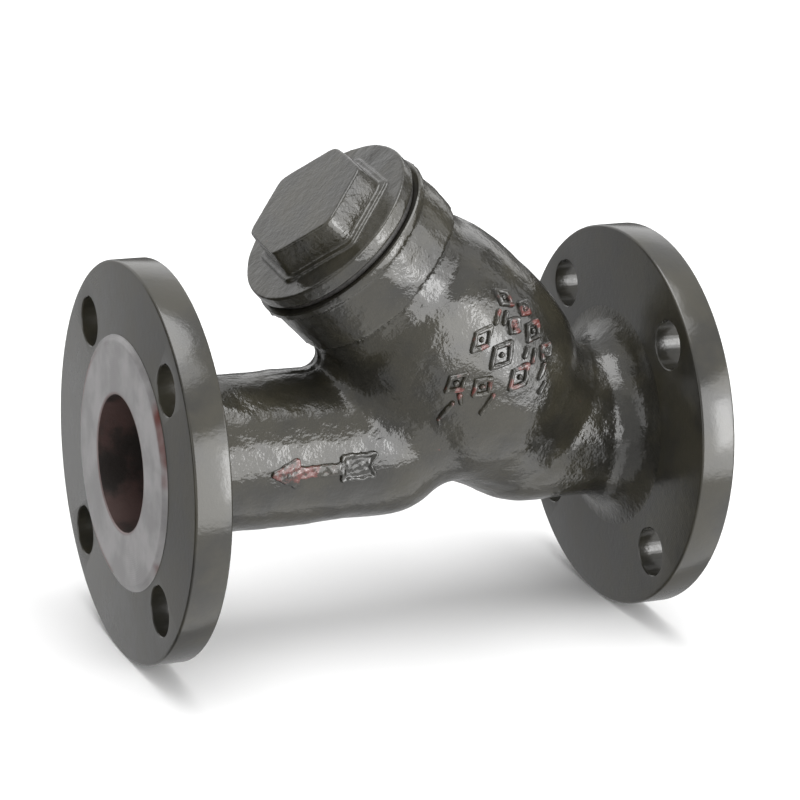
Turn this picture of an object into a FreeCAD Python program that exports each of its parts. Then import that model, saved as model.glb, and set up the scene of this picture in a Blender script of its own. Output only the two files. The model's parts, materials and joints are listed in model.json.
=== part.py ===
import FreeCAD
import Part
import math
import os

# Flanged Y strainer, DN 50 / NPS 2.  All sizes in millimetres.
# +X runs along the pipe from the outlet flange to the inlet flange, +Z is up.
# The origin is the centre of the outlet port, in the plane of its raised face.
# The screen branch leans over the outlet, so the water flows towards -X.

# Flanges, both ends alike
FACE_TO_FACE = 222.0
FLANGE_R = 76.2
FLANGE_THICK = 14.3
FLANGE_EDGE = 0.8
RAISED_FACE_H = 1.6
RAISED_FACE_R = 46.05
RAISED_FACE_FOOT_R = 48.6
BOLT_CIRCLE_R = 60.325
BOLT_HOLE_R = 9.525
BOLT_COUNT = 4
BOLT_TURN = 45.0
BORE_R = 26.0

# Pipe necks of the casting
OUTLET_NECK_R = 30.0
OUTLET_END_X = 104.0
OUTLET_FILLET = 8.0
INLET_NECK_R = 30.5
INLET_END_X = 165.5
INLET_FILLET = 14.0
WALL = 5.0

# Screen branch: heights are measured along its axis from the pipe axis
BRANCH_X = 167.5
BRANCH_ANGLE = 45.0
NECK_TOP = 117.3
NECK_RIM_R = 38.6
NECK_RIM_H = 3.3
NECK_R = 37.0
NECK_STEP = 96.0
NECK_EDGE = 0.5
WAIST_R = 35.8
BARREL_R = 43.4
BARREL_OUTLINE = [
    (NECK_STEP - 1, WAIST_R),
    (88, 36.4),
    (80, 39.2),
    (68, 41.8),
    (45, BARREL_R),
    (28, 42.2),
    (14, 37.9),
    (4, 31.0),
    (-6, 20.0),
]
CHAMBER_OUTLINE = [
    (84, 30.5),
    (72, 35.4),
    (60, 36.9),
    (40, 37.4),
    (26, 36.4),
    (14, 32.6),
]
SEAT_TOP = 14.0
SEAT_THICK = 6.0
SEAT_HOLE_R = 23.5
SEAT_RECESS_R = 27.9
SEAT_RECESS_DEPTH = 3.0

# Cap thread, 60 degree flanks
PITCH = 3.0
CREST_FLAT = 0.375
MALE_CREST_R = 31.9
MALE_ROOT_R = 30.25
FEMALE_ROOT_R = 32.2
FEMALE_CREST_R = 30.5
THREAD_START = 101.0
THREAD_START_TURN = 180.0
MALE_TURNS = 4
FEMALE_TURNS = 7
THREAD_ROOT_OVERLAP = 0.3

# Flow arrow on the outlet neck: distance from the port, and height above the pipe axis
ARROW_HEIGHT = 0.8
ARROW_TIP_X = 48.0
ARROW_HEAD_X = 60.0
ARROW_FLETCH_X = 77.0
ARROW_NOTCH_X = 89.0
ARROW_END_X = 92.0
ARROW_LINE_Z = 0.8
ARROW_HEAD_HALF = 6.0
ARROW_SHAFT_HALF = 2.0
ARROW_FLETCH_HALF = 5.0

# Cap
GASKET_THICK = 2.6
GASKET_R = 36.2
CAP_DISC_THICK = 5.8
CAP_DISC_R = 37.6
CAP_DISC_EDGE = 1.2
CAP_HEX_TOP = 137.8
CAP_HEX_FLATS_TOP = 45.9
CAP_HEX_FLATS_FOOT = 48.8
CAP_HEX_TURN = -93.7
CAP_LEDGE_FLATS = 52.6
CAP_LEDGE_H = 1.3
CAP_SKIRT_END = 98.6
CAP_RECESS_R = 27.9
CAP_RECESS_TOP = 111.0

# Screen basket
RING_R = 27.5
RING_H = 5.0
RING_LIP = 1.0
TUBE_R = 26.0
TUBE_THICK = 0.8
MESH_THICK = 0.5
SLIP = 0.05
END_PLAY = 0.2
HOLE_R = 2.1
HOLES_AROUND = 24
HOLE_ROWS = 14
SEAM_WIDTH = 9.0
SEAM_THICK = 0.8
RIVET_R = 1.3
RIVET_HEAD = 0.7
RIVETS = 6

X_AXIS = FreeCAD.Vector(1, 0, 0)
Y_AXIS = FreeCAD.Vector(0, 1, 0)
Z_AXIS = FreeCAD.Vector(0, 0, 1)
ORIGIN = FreeCAD.Vector(0, 0, 0)

GASKET_TOP = NECK_TOP + GASKET_THICK
CAP_DISC_TOP = GASKET_TOP + CAP_DISC_THICK
SEAT_FLOOR = SEAT_TOP - SEAT_RECESS_DEPTH
SCREEN_LOW = SEAT_FLOOR + END_PLAY
SCREEN_HIGH = CAP_RECESS_TOP - END_PLAY


def point(along, radius):
    """A point of a turned outline: distance along +Z, radius along +X."""
    return FreeCAD.Vector(radius, 0, along)


def line(start, end):
    return Part.makeLine(point(*start), point(*end))


def arc(start, middle, end):
    return Part.Arc(point(*start), point(*middle), point(*end)).toShape()


def turned(edges):
    """A solid turned about +Z from the edges of a closed half outline."""
    face = Part.Face(Part.Wire(edges))
    return face.revolve(ORIGIN, Z_AXIS, 360)


def polyline_edges(points):
    return [line(a, b) for a, b in zip(points, points[1:])]


def turned_polygon(points):
    return turned(polyline_edges(points + [points[0]]))


def tube(outer, inner, low, high):
    height = high - low
    solid = Part.makeCylinder(outer, height, point(low, 0))
    return solid.cut(Part.makeCylinder(inner, height, point(low, 0)))


def on_pipe(shape, mirrored=False):
    """Lays a solid turned about +Z along the pipe, from the outlet or from the inlet."""
    placed = shape.copy()
    if mirrored:
        placed.rotate(ORIGIN, Y_AXIS, -90)
        placed.translate(FreeCAD.Vector(FACE_TO_FACE, 0, 0))
    else:
        placed.rotate(ORIGIN, Y_AXIS, 90)
    return placed


def on_branch(shape):
    """Stands a solid built about +Z on the branch axis, which leans towards the outlet."""
    placed = shape.copy()
    placed.rotate(ORIGIN, Y_AXIS, -BRANCH_ANGLE)
    placed.translate(FreeCAD.Vector(BRANCH_X, 0, 0))
    return placed


def flanged_neck(neck_r, fillet, end):
    """Flange, raised face, filleted neck and its domed end, as one turned solid."""
    back = RAISED_FACE_H + FLANGE_THICK
    rim = FLANGE_R - FLANGE_EDGE
    corner = fillet * (1 - math.sqrt(0.5))
    dome = neck_r * math.sqrt(0.5)
    outline = [
        (0, 0),
        (0, RAISED_FACE_R),
        (RAISED_FACE_H, RAISED_FACE_FOOT_R),
        (RAISED_FACE_H, rim),
        (RAISED_FACE_H + FLANGE_EDGE, FLANGE_R),
        (back - FLANGE_EDGE, FLANGE_R),
        (back, rim),
        (back, neck_r + fillet),
    ]
    edges = polyline_edges(outline)
    edges.append(arc((back, neck_r + fillet), (back + corner, neck_r + corner), (back + fillet, neck_r)))
    edges.append(line((back + fillet, neck_r), (end, neck_r)))
    edges.append(arc((end, neck_r), (end + dome, dome), (end + neck_r, 0)))
    edges.append(line((end + neck_r, 0), (0, 0)))
    return turned(edges)


def bolt_holes():
    """Bolt holes that straddle the vertical centre line."""
    depth = RAISED_FACE_H + FLANGE_THICK + 2
    holes = []
    for k in range(BOLT_COUNT):
        hole = Part.makeCylinder(BOLT_HOLE_R, depth, point(-1, BOLT_CIRCLE_R))
        hole.rotate(ORIGIN, Z_AXIS, BOLT_TURN + 360 / BOLT_COUNT * k)
        holes.append(hole)
    return Part.makeCompound(holes)


def branch_outside():
    """Rimmed neck band, then the barrel that swells round the screen and closes into the inlet."""
    foot = BARREL_OUTLINE[-1]
    edges = polyline_edges([
        (NECK_TOP, 0),
        (NECK_TOP, NECK_RIM_R - NECK_EDGE),
        (NECK_TOP - NECK_EDGE, NECK_RIM_R),
        (NECK_TOP - NECK_RIM_H, NECK_RIM_R),
        (NECK_TOP - NECK_RIM_H - NECK_EDGE, NECK_R),
        (NECK_STEP, NECK_R),
        BARREL_OUTLINE[0],
    ])
    barrel = Part.BSplineCurve()
    barrel.interpolate([point(*p) for p in BARREL_OUTLINE])
    edges.append(barrel.toShape())
    edges.append(line(foot, (foot[0], 0)))
    edges.append(line((foot[0], 0), (NECK_TOP, 0)))
    return turned(edges)


def branch_cavity():
    """Tapped neck bore that opens into the annular chamber above the screen seat."""
    bore = [(NECK_TOP + 1, 0), (NECK_TOP + 1, FEMALE_CREST_R)]
    return turned_polygon(bore + CHAMBER_OUTLINE + [(SEAT_TOP, 0)])


def seat_opening():
    """Through hole of the screen seat, with the recess that centres the basket."""
    hole = Part.makeCylinder(SEAT_HOLE_R, SEAT_THICK + 2, point(SEAT_TOP - SEAT_THICK - 1, 0))
    recess = Part.makeCylinder(SEAT_RECESS_R, SEAT_RECESS_DEPTH + 1, point(SEAT_FLOOR, 0))
    return hole.fuse(recess)


def pipe_cavity(neck_r, end):
    """Round bore from a port face to the domed end of its neck."""
    inner = neck_r - WALL
    dome = inner * math.sqrt(0.5)
    edges = polyline_edges([(end + inner, 0), (-1, 0), (-1, BORE_R), (end - 10, BORE_R), (end, inner)])
    edges.append(arc((end, inner), (end + dome, dome), (end + inner, 0)))
    return turned(edges)


def below_seat():
    """Everything on the inlet side of the seat partition."""
    span = 400
    corner = FreeCAD.Vector(-span / 2, -span / 2, SEAT_TOP - SEAT_THICK - span)
    return on_branch(Part.makeBox(span, span, span, corner))


def thread_ridge(crest_r, root_r, first, turns):
    """Helical ridge on the cap, or the cutter for the matching groove in the neck."""
    inner = root_r - THREAD_ROOT_OVERLAP
    half_crest = CREST_FLAT / 2
    half_root = half_crest + (crest_r - inner) * math.tan(math.radians(30))
    section = [(-half_root, inner), (-half_crest, crest_r), (half_crest, crest_r), (half_root, inner)]
    corners = [point(first + along, radius) for along, radius in section]
    profile = Part.makePolygon(corners + [corners[0]])
    path = Part.makeHelix(PITCH, PITCH * turns, inner)
    path.translate(FreeCAD.Vector(0, 0, first))
    ridge = Part.Wire(path.Edges).makePipeShell([profile], True, True)
    ridge.rotate(ORIGIN, Z_AXIS, THREAD_START_TURN)
    return ridge


def flow_arrow():
    """Raised arrow on the viewer's side of the outlet neck; it points towards the outlet."""
    upper = [
        (ARROW_TIP_X, 0),
        (ARROW_HEAD_X, ARROW_HEAD_HALF),
        (ARROW_HEAD_X, ARROW_SHAFT_HALF),
        (ARROW_FLETCH_X, ARROW_SHAFT_HALF),
        (ARROW_FLETCH_X, ARROW_FLETCH_HALF),
        (ARROW_END_X, ARROW_FLETCH_HALF),
        (ARROW_NOTCH_X, 0),
    ]
    lower = [(x, -z) for x, z in reversed(upper[:-1])]
    corners = [FreeCAD.Vector(x, -OUTLET_NECK_R - 2, ARROW_LINE_Z + z) for x, z in upper + lower]
    plate = Part.Face(Part.makePolygon(corners)).extrude(Y_AXIS * OUTLET_NECK_R)
    low = ARROW_TIP_X - 2
    high = ARROW_END_X + 2
    skin = on_pipe(tube(OUTLET_NECK_R + ARROW_HEIGHT, OUTLET_NECK_R - 1, low, high))
    return plate.common(skin)


def body_casting():
    """One casting: two flanged necks, the screen branch and the seat partition between them."""
    outside = on_pipe(flanged_neck(OUTLET_NECK_R, OUTLET_FILLET, OUTLET_END_X))
    inlet_end = FACE_TO_FACE - INLET_END_X
    outside = outside.fuse(on_pipe(flanged_neck(INLET_NECK_R, INLET_FILLET, inlet_end), mirrored=True))
    outside = outside.fuse(on_branch(branch_outside()))
    outside = outside.fuse(flow_arrow())
    outlet_space = on_pipe(pipe_cavity(OUTLET_NECK_R, OUTLET_END_X))
    outlet_space = outlet_space.fuse(on_branch(branch_cavity()))
    inlet_space = on_pipe(pipe_cavity(INLET_NECK_R, inlet_end), mirrored=True).common(below_seat())
    casting = outside.cut(outlet_space).cut(inlet_space).cut(on_branch(seat_opening()))
    casting = casting.cut(on_pipe(bolt_holes())).cut(on_pipe(bolt_holes(), mirrored=True))
    groove = thread_ridge(FEMALE_ROOT_R, FEMALE_CREST_R, THREAD_START - PITCH, FEMALE_TURNS)
    return casting.cut(on_branch(groove))


def hexagon(flats, height):
    """Closed hexagon outline at that height above the pipe axis, turned as the cap sits."""
    corner_r = flats / math.sqrt(3)
    corners = []
    for k in range(6):
        angle = math.radians(CAP_HEX_TURN + 60 * k)
        corners.append(FreeCAD.Vector(corner_r * math.cos(angle), corner_r * math.sin(angle), height))
    return Part.makePolygon(corners + [corners[0]])


def cap_hexagon():
    """Hexagon head with a slight casting draft, on a low ledge of the same shape."""
    sunk = CAP_DISC_TOP - 0.5
    ledge_top = CAP_DISC_TOP + CAP_LEDGE_H
    ledge_foot = hexagon(CAP_LEDGE_FLATS + 1, sunk)
    ledge = Part.makeLoft([ledge_foot, hexagon(CAP_LEDGE_FLATS, ledge_top)], True, True)
    foot = hexagon(CAP_HEX_FLATS_FOOT, sunk)
    top = hexagon(CAP_HEX_FLATS_TOP, CAP_HEX_TOP)
    return Part.makeLoft([foot, top], True, True).fuse(ledge)


def cap():
    """Screwed cap: hexagon, disc, threaded skirt and the socket that holds the basket's top ring."""
    disc = turned_polygon([
        (GASKET_TOP, 0),
        (GASKET_TOP, CAP_DISC_R - CAP_DISC_EDGE / 2),
        (GASKET_TOP + CAP_DISC_EDGE / 2, CAP_DISC_R),
        (CAP_DISC_TOP - CAP_DISC_EDGE, CAP_DISC_R),
        (CAP_DISC_TOP, CAP_DISC_R - CAP_DISC_EDGE),
        (CAP_DISC_TOP, 0),
    ])
    skirt = Part.makeCylinder(MALE_ROOT_R, GASKET_TOP - CAP_SKIRT_END + 1, point(CAP_SKIRT_END, 0))
    plug = disc.fuse(cap_hexagon()).fuse(skirt)
    socket_depth = CAP_RECESS_TOP - CAP_SKIRT_END + 1
    plug = plug.cut(Part.makeCylinder(CAP_RECESS_R, socket_depth, point(CAP_SKIRT_END - 1, 0)))
    ridge = thread_ridge(MALE_CREST_R, MALE_ROOT_R, THREAD_START, MALE_TURNS)
    return on_branch(plug.fuse(ridge))


def cap_gasket():
    """Flat ring between the cap's disc and the machined top of the neck."""
    return on_branch(tube(GASKET_R, MALE_CREST_R + 0.5, NECK_TOP, GASKET_TOP))


def screen_ring(low, lip_low):
    """End ring of the basket: a collar round the tube and a lip that covers its edge."""
    collar = tube(RING_R, TUBE_R + SLIP, low, low + RING_H)
    lip = tube(RING_R, TUBE_R - TUBE_THICK - MESH_THICK - 2 * SLIP, lip_low, lip_low + RING_LIP)
    return on_branch(collar.fuse(lip).removeSplitter())


def screen_bottom_ring():
    return screen_ring(SCREEN_LOW, SCREEN_LOW)


def screen_top_ring():
    low = SCREEN_HIGH - RING_H
    return screen_ring(low, SCREEN_HIGH - RING_LIP)


def screen_tube():
    """Rolled perforated sheet, with staggered rows of round holes between the end rings."""
    low = SCREEN_LOW + RING_LIP
    high = SCREEN_HIGH - RING_LIP
    shell = tube(TUBE_R, TUBE_R - TUBE_THICK, low, high)
    margin = RING_H + HOLE_R + 1.5
    row_step = (high - low - 2 * margin) / (HOLE_ROWS - 1)
    hole_step = 360 / HOLES_AROUND
    drills = []
    for row in range(HOLE_ROWS):
        height = low + margin + row * row_step
        for k in range(HOLES_AROUND):
            turn = hole_step * (k + 0.5 * (row % 2))
            if seam_covers(turn):
                continue
            drill = Part.makeCylinder(HOLE_R, 4, point(height, TUBE_R - 2), X_AXIS)
            drill.rotate(ORIGIN, Z_AXIS, turn)
            drills.append(drill)
    return on_branch(shell.cut(Part.makeCompound(drills)))


def seam_covers(turn):
    """True where a hole would lie under the seam strip, which faces +Y."""
    half = math.degrees((SEAM_WIDTH / 2 + HOLE_R) / TUBE_R)
    return abs(turn - 90) < half


def screen_mesh():
    """Fine mesh liner, as a thin sleeve inside the perforated tube."""
    outer = TUBE_R - TUBE_THICK - SLIP
    return on_branch(tube(outer, outer - MESH_THICK, SCREEN_LOW + RING_LIP, SCREEN_HIGH - RING_LIP))


def seam_sector(inner, outer, width, low, high):
    """A strip of the given width, curved round the tube and facing +Y."""
    ring = tube(outer, inner, low, high)
    window = Part.makeBox(width, 2 * outer, high - low, FreeCAD.Vector(-width / 2, 0, low))
    return ring.common(window)


def screen_seam_strip():
    """Cover strip over the lap of the rolled tube, drilled for its rivets."""
    low = SCREEN_LOW + RING_H + 0.5
    high = SCREEN_HIGH - RING_H - 0.5
    inner = TUBE_R + SLIP
    strip = seam_sector(inner, inner + SEAM_THICK, SEAM_WIDTH, low, high)
    for height in rivet_heights():
        start = FreeCAD.Vector(0, TUBE_R - 2, height)
        strip = strip.cut(Part.makeCylinder(RIVET_R / 2 + SLIP, 4, start, Y_AXIS))
    return on_branch(strip)


def rivet_heights():
    low = SCREEN_LOW + 2 * RING_H
    step = (SCREEN_HIGH - SCREEN_LOW - 4 * RING_H) / (RIVETS - 1)
    return [low + k * step for k in range(RIVETS)]


def screen_seam_rivets():
    """Small domed rivets that hold the seam strip, one solid each."""
    face_r = TUBE_R + SLIP + SEAM_THICK + SLIP
    rivets = []
    for height in rivet_heights():
        start = FreeCAD.Vector(0, TUBE_R + SLIP / 2, height)
        seat = FreeCAD.Vector(0, face_r, height)
        shank = Part.makeCylinder(RIVET_R / 2, face_r - TUBE_R, start, Y_AXIS)
        head = Part.makeCone(RIVET_R, RIVET_R / 2, RIVET_HEAD, seat, Y_AXIS)
        rivets.append(shank.fuse(head))
    return on_branch(Part.makeCompound(rivets))


PARTS = {
    "body_casting": body_casting,
    "cap": cap,
    "cap_gasket": cap_gasket,
    "screen_tube": screen_tube,
    "screen_mesh": screen_mesh,
    "screen_top_ring": screen_top_ring,
    "screen_bottom_ring": screen_bottom_ring,
    "screen_seam_strip": screen_seam_strip,
    "screen_seam_rivets": screen_seam_rivets,
}

os.makedirs("parts", exist_ok=True)
for name, build in PARTS.items():
    shape = build()
    size = shape.BoundBox
    print(name, len(shape.Solids), shape.isValid(), round(shape.Volume), size)
    shape.exportStep(f"parts/{name}.step")
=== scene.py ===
import json
import math
import bmesh
import bpy
import numpy as np
from mathutils import Matrix, Vector


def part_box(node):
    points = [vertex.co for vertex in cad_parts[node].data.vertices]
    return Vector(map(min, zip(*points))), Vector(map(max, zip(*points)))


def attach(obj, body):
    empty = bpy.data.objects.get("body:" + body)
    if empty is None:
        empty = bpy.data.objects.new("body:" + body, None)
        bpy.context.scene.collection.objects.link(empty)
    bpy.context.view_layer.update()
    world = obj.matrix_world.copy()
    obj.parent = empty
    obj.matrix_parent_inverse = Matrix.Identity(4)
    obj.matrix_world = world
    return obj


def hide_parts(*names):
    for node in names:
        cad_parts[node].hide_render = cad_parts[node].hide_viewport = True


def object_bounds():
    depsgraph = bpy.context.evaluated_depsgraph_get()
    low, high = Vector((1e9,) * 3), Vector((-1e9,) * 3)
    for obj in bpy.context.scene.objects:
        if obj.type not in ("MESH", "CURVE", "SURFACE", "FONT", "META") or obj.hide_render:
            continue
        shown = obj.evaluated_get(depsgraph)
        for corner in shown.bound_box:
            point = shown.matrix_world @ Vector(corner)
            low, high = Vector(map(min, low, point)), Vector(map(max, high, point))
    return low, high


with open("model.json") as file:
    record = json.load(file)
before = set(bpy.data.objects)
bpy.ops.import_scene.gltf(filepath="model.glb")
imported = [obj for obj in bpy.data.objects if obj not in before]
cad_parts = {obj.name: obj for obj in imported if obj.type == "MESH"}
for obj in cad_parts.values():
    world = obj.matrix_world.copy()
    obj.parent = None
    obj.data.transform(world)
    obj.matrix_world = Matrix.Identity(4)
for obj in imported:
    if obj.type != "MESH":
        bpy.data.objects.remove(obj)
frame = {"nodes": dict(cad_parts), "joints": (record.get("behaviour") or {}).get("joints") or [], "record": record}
cad_low, cad_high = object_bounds()

# ------------------------------------------------------------ sizes, read from the frame, in millimetres
MM = 0.001
_, body_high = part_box("body_casting")
FACE_TO_FACE = body_high.x / MM
FLANGE_R = body_high.y / MM
mounts = {m["name"]: m for m in frame["record"]["mounts"]}
joints = {j["name"]: j for j in frame["joints"]}
BOLT_CIRCLE_R = mounts["outlet_bolts"]["dims"]["pcd_mm"] / 2
BOLT_HOLE_R = mounts["outlet_bolts"]["dims"]["hole_r_mm"]
RAISED_FACE_H = mounts["outlet_bolts"]["pos_m"][0] / MM
PITCH = frame["record"]["behaviour"]["couplings"][0]["ratio"] * 2 * math.pi / MM
BRANCH_AXIS = np.array(joints["cap_turn"]["axis"], float)
BRANCH_SIDE = np.array([-BRANCH_AXIS[0], 0.0, BRANCH_AXIS[2]])
FRONT = np.array([0.0, -1.0, 0.0])
cap_turn_x, _, cap_turn_z = joints["cap_turn"]["pos_m"]
BRANCH_X = (cap_turn_x + cap_turn_z) / MM
BRANCH_ORIGIN = np.array([BRANCH_X, 0.0, 0.0])
NECK_TOP = cap_turn_z / BRANCH_AXIS[2] / MM
HEX_TOP_POINT = np.array(mounts["cap_hexagon"]["pos_m"]) / MM
HEX_TOP = float((HEX_TOP_POINT - BRANCH_ORIGIN) @ BRANCH_AXIS)

FLANGE_BACK = RAISED_FACE_H + 14.3
RAISED_FACE_R = 46.05
RAISED_FACE_FOOT_R = 48.6
BORE_R = 26.0
OUTLET_NECK_R = 30.0
OUTLET_END = 104.0
INLET_NECK_R = 30.5
INLET_END = 165.5
WALL = 5.0
NECK_R = 37.2
NECK_STEP = 96.0
NECK_RIM_R = 38.6
NECK_RIM_H = 3.3
SEAT_TOP = 14.0
SEAT_THICK = 6.0
SEAT_HOLE_R = 23.5
SEAT_RECESS_R = 27.9
SEAT_RECESS_DEPTH = 3.0
RING_R = 27.5
RING_BORE_R = 24.6
TUBE_R = 26.0
TUBE_WALL = 0.8
THREAD_DATUM = 99.5
THREAD_FOOT = 96.0
FEMALE_CREST_R = 30.5
FEMALE_ROOT_R = 32.2
MALE_ROOT_R = 30.25
MALE_CREST_R = 31.9
GASKET_THICK = 2.6
GASKET_R = 36.2
CAP_DISC_THICK = 5.8
CAP_DISC_R = 37.6
CAP_HEX_FLATS_TOP = 45.9
CAP_HEX_FLATS_FOOT = 48.8
CAP_HEX_TURN = math.radians(93.7)
CAP_LEDGE_FLATS = 52.6
CAP_LEDGE_H = 1.3
CAP_SKIRT_END = 98.6
CAP_RECESS_R = 27.9
CAP_RECESS_TOP = 111.0
CASTING_DISC_R = 49.5
CASTING_DISC_THICK = 8.0
BRANCH_FOOT = -14.0
BARREL_OUTLINE = [
    (BRANCH_FOOT, 2), (-10, 13), (-4, 22.6), (6, 32.7), (18, 39.7), (30, 42.6), (44, 43.5), (58, 42.9),
    (70, 41.5), (80, 39.2), (87, 36.7), (92, 35.8),
]
GASKET_TOP = NECK_TOP + GASKET_THICK
CAP_DISC_TOP = GASKET_TOP + CAP_DISC_THICK

FINE_STEP = 0.95
CAP_STEP = 0.5
TINY = 1e-6


# ---------------------------------------------------------------- small field helpers
def branch_coordinates(p):
    """Height along the branch axis, and the two coordinates across it, of points in millimetres."""
    q = p - BRANCH_ORIGIN
    return q @ BRANCH_AXIS, q @ BRANCH_SIDE, q @ FRONT


def from_branch(height, side, front):
    """Points in millimetres from their branch coordinates."""
    return (
        BRANCH_ORIGIN
        + np.multiply.outer(height, BRANCH_AXIS)
        + np.multiply.outer(side, BRANCH_SIDE)
        + np.multiply.outer(front, FRONT)
    )


def round_union(a, b, radius):
    """Union of two distance fields with a fillet of that radius."""
    u = np.maximum(radius - a, 0)
    v = np.maximum(radius - b, 0)
    return np.maximum(radius, np.minimum(a, b)) - np.sqrt(u * u + v * v)


def smoothstep(x, low, high):
    t = np.clip((x - low) / (high - low), 0, 1)
    return t * t * (3 - 2 * t)


def wave_noise(p, wavelength, seed, count=14):
    """Smooth seeded noise of about -1 to 1, as a sum of plane waves."""
    rng = np.random.default_rng(seed)
    total = np.zeros(len(p))
    for _ in range(count):
        direction = rng.normal(size=3)
        direction /= np.linalg.norm(direction)
        length = wavelength * rng.uniform(0.7, 1.5)
        phase = rng.uniform(0, 2 * math.pi)
        total += np.sin(p @ direction * (2 * math.pi / length) + phase)
    return total / math.sqrt(count / 2) / 1.6


# ---------------------------------------------------------------- meshing of a field
CORNERS = [(i, j, k) for i in (0, 1) for j in (0, 1) for k in (0, 1)]
CELL_EDGES = [
    (a, b) for a in range(8) for b in range(a + 1, 8)
    if sum(abs(x - y) for x, y in zip(CORNERS[a], CORNERS[b])) == 1
]


def sample_grid(field, low, high, step):
    axes = [np.arange(a, b + step, step) for a, b in zip(low, high)]
    values = np.empty([len(a) for a in axes], np.float32)
    for i, x in enumerate(axes[0]):
        y, z = np.meshgrid(axes[1], axes[2], indexing="ij")
        points = np.stack([np.full(y.size, x), y.ravel(), z.ravel()], 1)
        values[i] = field(points).reshape(y.shape)
    return values


def net_vertices(values, low, step):
    """One vertex in each cell that the surface crosses, and the cell's vertex number."""
    inside = values < 0
    count = np.zeros(np.array(values.shape) - 1, np.int8)
    corner_views = []
    for i, j, k in CORNERS:
        window = tuple(slice(o, s - 1 + o) for o, s in zip((i, j, k), values.shape))
        corner_views.append(values[window])
        count += inside[window]
    active = (count > 0) & (count < 8)
    cells = np.argwhere(active)
    number = np.full(active.shape, -1, np.int64)
    number[active] = np.arange(len(cells))
    corner_values = np.stack([view[active] for view in corner_views], 1)
    total = np.zeros((len(cells), 3))
    hits = np.zeros(len(cells))
    for a, b in CELL_EDGES:
        fa, fb = corner_values[:, a], corner_values[:, b]
        cross = (fa < 0) != (fb < 0)
        t = np.where(cross, fa / np.where(cross, fa - fb, 1), 0)[:, None]
        point = np.array(CORNERS[a]) * (1 - t) + np.array(CORNERS[b]) * t
        total += point * cross[:, None]
        hits += cross
    return np.array(low) + (cells + total / hits[:, None]) * step, number, inside


def net_faces(number, inside):
    """Quads round every grid edge that the surface crosses, wound outwards."""
    faces = []
    for axis in range(3):
        b, c = (axis + 1) % 3, (axis + 2) % 3
        near = np.moveaxis(inside, (axis, b, c), (0, 1, 2))
        cell = np.moveaxis(number, (axis, b, c), (0, 1, 2))
        start, end = near[:-1, 1:-1, 1:-1], near[1:, 1:-1, 1:-1]
        ring = [cell[:, :-1, :-1], cell[:, 1:, :-1], cell[:, 1:, 1:], cell[:, :-1, 1:]]
        quads = np.stack(ring, -1)
        out = start & ~end
        into = ~start & end
        faces.append(quads[out])
        faces.append(quads[into][:, ::-1])
    return np.concatenate(faces)


def field_gradient(field, p, h=0.02):
    g = np.empty_like(p)
    for axis in range(3):
        step = np.zeros(3)
        step[axis] = h
        g[:, axis] = (field(p + step) - field(p - step)) / (2 * h)
    return g


def neighbour_mean(p, faces):
    total = np.zeros_like(p)
    count = np.zeros(len(p))
    for a, b in ((0, 1), (1, 2), (2, 3), (3, 0)):
        np.add.at(total, faces[:, a], p[faces[:, b]])
        np.add.at(total, faces[:, b], p[faces[:, a]])
        np.add.at(count, faces[:, a], 1)
        np.add.at(count, faces[:, b], 1)
    return total / np.maximum(count, 1)[:, None]


def mesh_of_field(field, low, high, step, relax=3):
    """Vertices, quads and normals of the zero surface, evened out and drawn back onto the field."""
    p, number, inside = net_vertices(sample_grid(field, low, high, step), low, step)
    faces = net_faces(number, inside)
    for _ in range(relax):
        p = 0.5 * p + 0.5 * neighbour_mean(p, faces)
        g = field_gradient(field, p)
        p -= (field(p) / np.maximum((g * g).sum(1), 0.05))[:, None] * g
    g = field_gradient(field, p)
    normals = g / np.linalg.norm(g, axis=1)[:, None]
    return p, faces, normals


def make_object(name, points_mm, faces):
    mesh = bpy.data.meshes.new(name)
    mesh.from_pydata((np.asarray(points_mm) * MM).tolist(), [], [list(map(int, f)) for f in faces])
    mesh.update()
    piece = bpy.data.objects.new(name, mesh)
    bpy.context.scene.collection.objects.link(piece)
    return piece


def smooth_faces(piece):
    piece.data.polygons.foreach_set("use_smooth", [True] * len(piece.data.polygons))


def smooth_shading(piece, angle=32):
    smooth_faces(piece)
    piece.data.set_sharp_from_angle(angle=math.radians(angle))


def apply_modifiers(piece):
    """Replaces the piece's mesh by its evaluated one."""
    graph = bpy.context.evaluated_depsgraph_get()
    mesh = bpy.data.meshes.new_from_object(piece.evaluated_get(graph))
    piece.modifiers.clear()
    piece.data = mesh


def cut_away(piece, cutters):
    """Takes the cutters out of the piece, and deletes them."""
    for cutter in cutters:
        modifier = piece.modifiers.new("cut", "BOOLEAN")
        modifier.operation = "DIFFERENCE"
        modifier.solver = "EXACT"
        modifier.object = cutter
    apply_modifiers(piece)
    for cutter in cutters:
        bpy.data.objects.remove(cutter)


def turned_grid(outline, segments, place):
    """Vertices and faces of a closed solid turned from (along, radius) points.

    The first and last points lie on the axis, or the outline is closed when they are the same."""
    closed = outline[0] == outline[-1]
    rows = outline[:-1] if closed else outline
    angles = np.arange(segments) * 2 * math.pi / segments
    points = []
    starts = []
    for along, radius in rows:
        starts.append(len(points))
        if radius < TINY:
            points.append(place(along, 0.0, 0.0))
            continue
        for angle in angles:
            points.append(place(along, radius * math.cos(angle), radius * math.sin(angle)))
    faces = []
    pairs = list(zip(range(len(rows)), range(1, len(rows))))
    if closed:
        pairs.append((len(rows) - 1, 0))
    for a, b in pairs:
        first_is_pole = rows[a][1] < TINY
        last_is_pole = rows[b][1] < TINY
        if first_is_pole and last_is_pole:
            continue
        for k in range(segments):
            m = (k + 1) % segments
            if first_is_pole:
                faces.append((starts[a], starts[b] + k, starts[b] + m))
            elif last_is_pole:
                faces.append((starts[a] + k, starts[b], starts[a] + m))
            else:
                faces.append((starts[a] + k, starts[b] + k, starts[b] + m, starts[a] + m))
    return points, faces


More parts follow.
